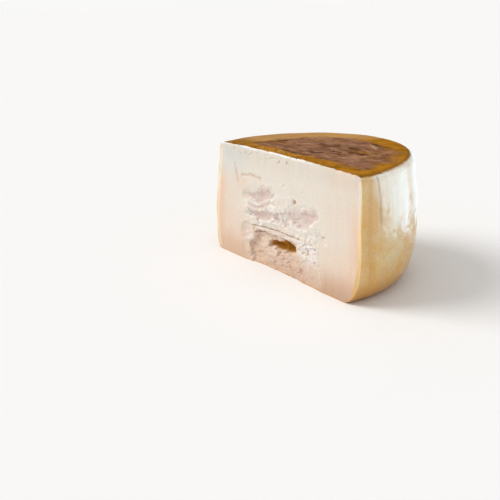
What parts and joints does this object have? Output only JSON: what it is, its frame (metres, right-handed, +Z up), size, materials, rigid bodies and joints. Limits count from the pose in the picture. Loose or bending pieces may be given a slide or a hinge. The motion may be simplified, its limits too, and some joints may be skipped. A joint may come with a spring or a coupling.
{
  "type": "cut cheese wheel",
  "caption": "Cut wheel of hard cheese: a little over half a wheel, with a golden rind, a darker top and a partly broken cut face.",
  "frame": {"origin": "middle of the bounding box's footprint, on the surface that the wheel stands on", "axes": "+Z up along the wheel's axis, -Y straight out of the cut face, +X along the cut to the right as seen from in front of it"},
  "size_m": [0.226, 0.1396, 0.121],
  "materials": {
    "cheese": "pale, dense, faintly translucent cheese paste with a waxy amber rind"
  },
  "bodies": {
    "root": {"cheese_wheel": "cheese"}
  },
  "joints": []
}
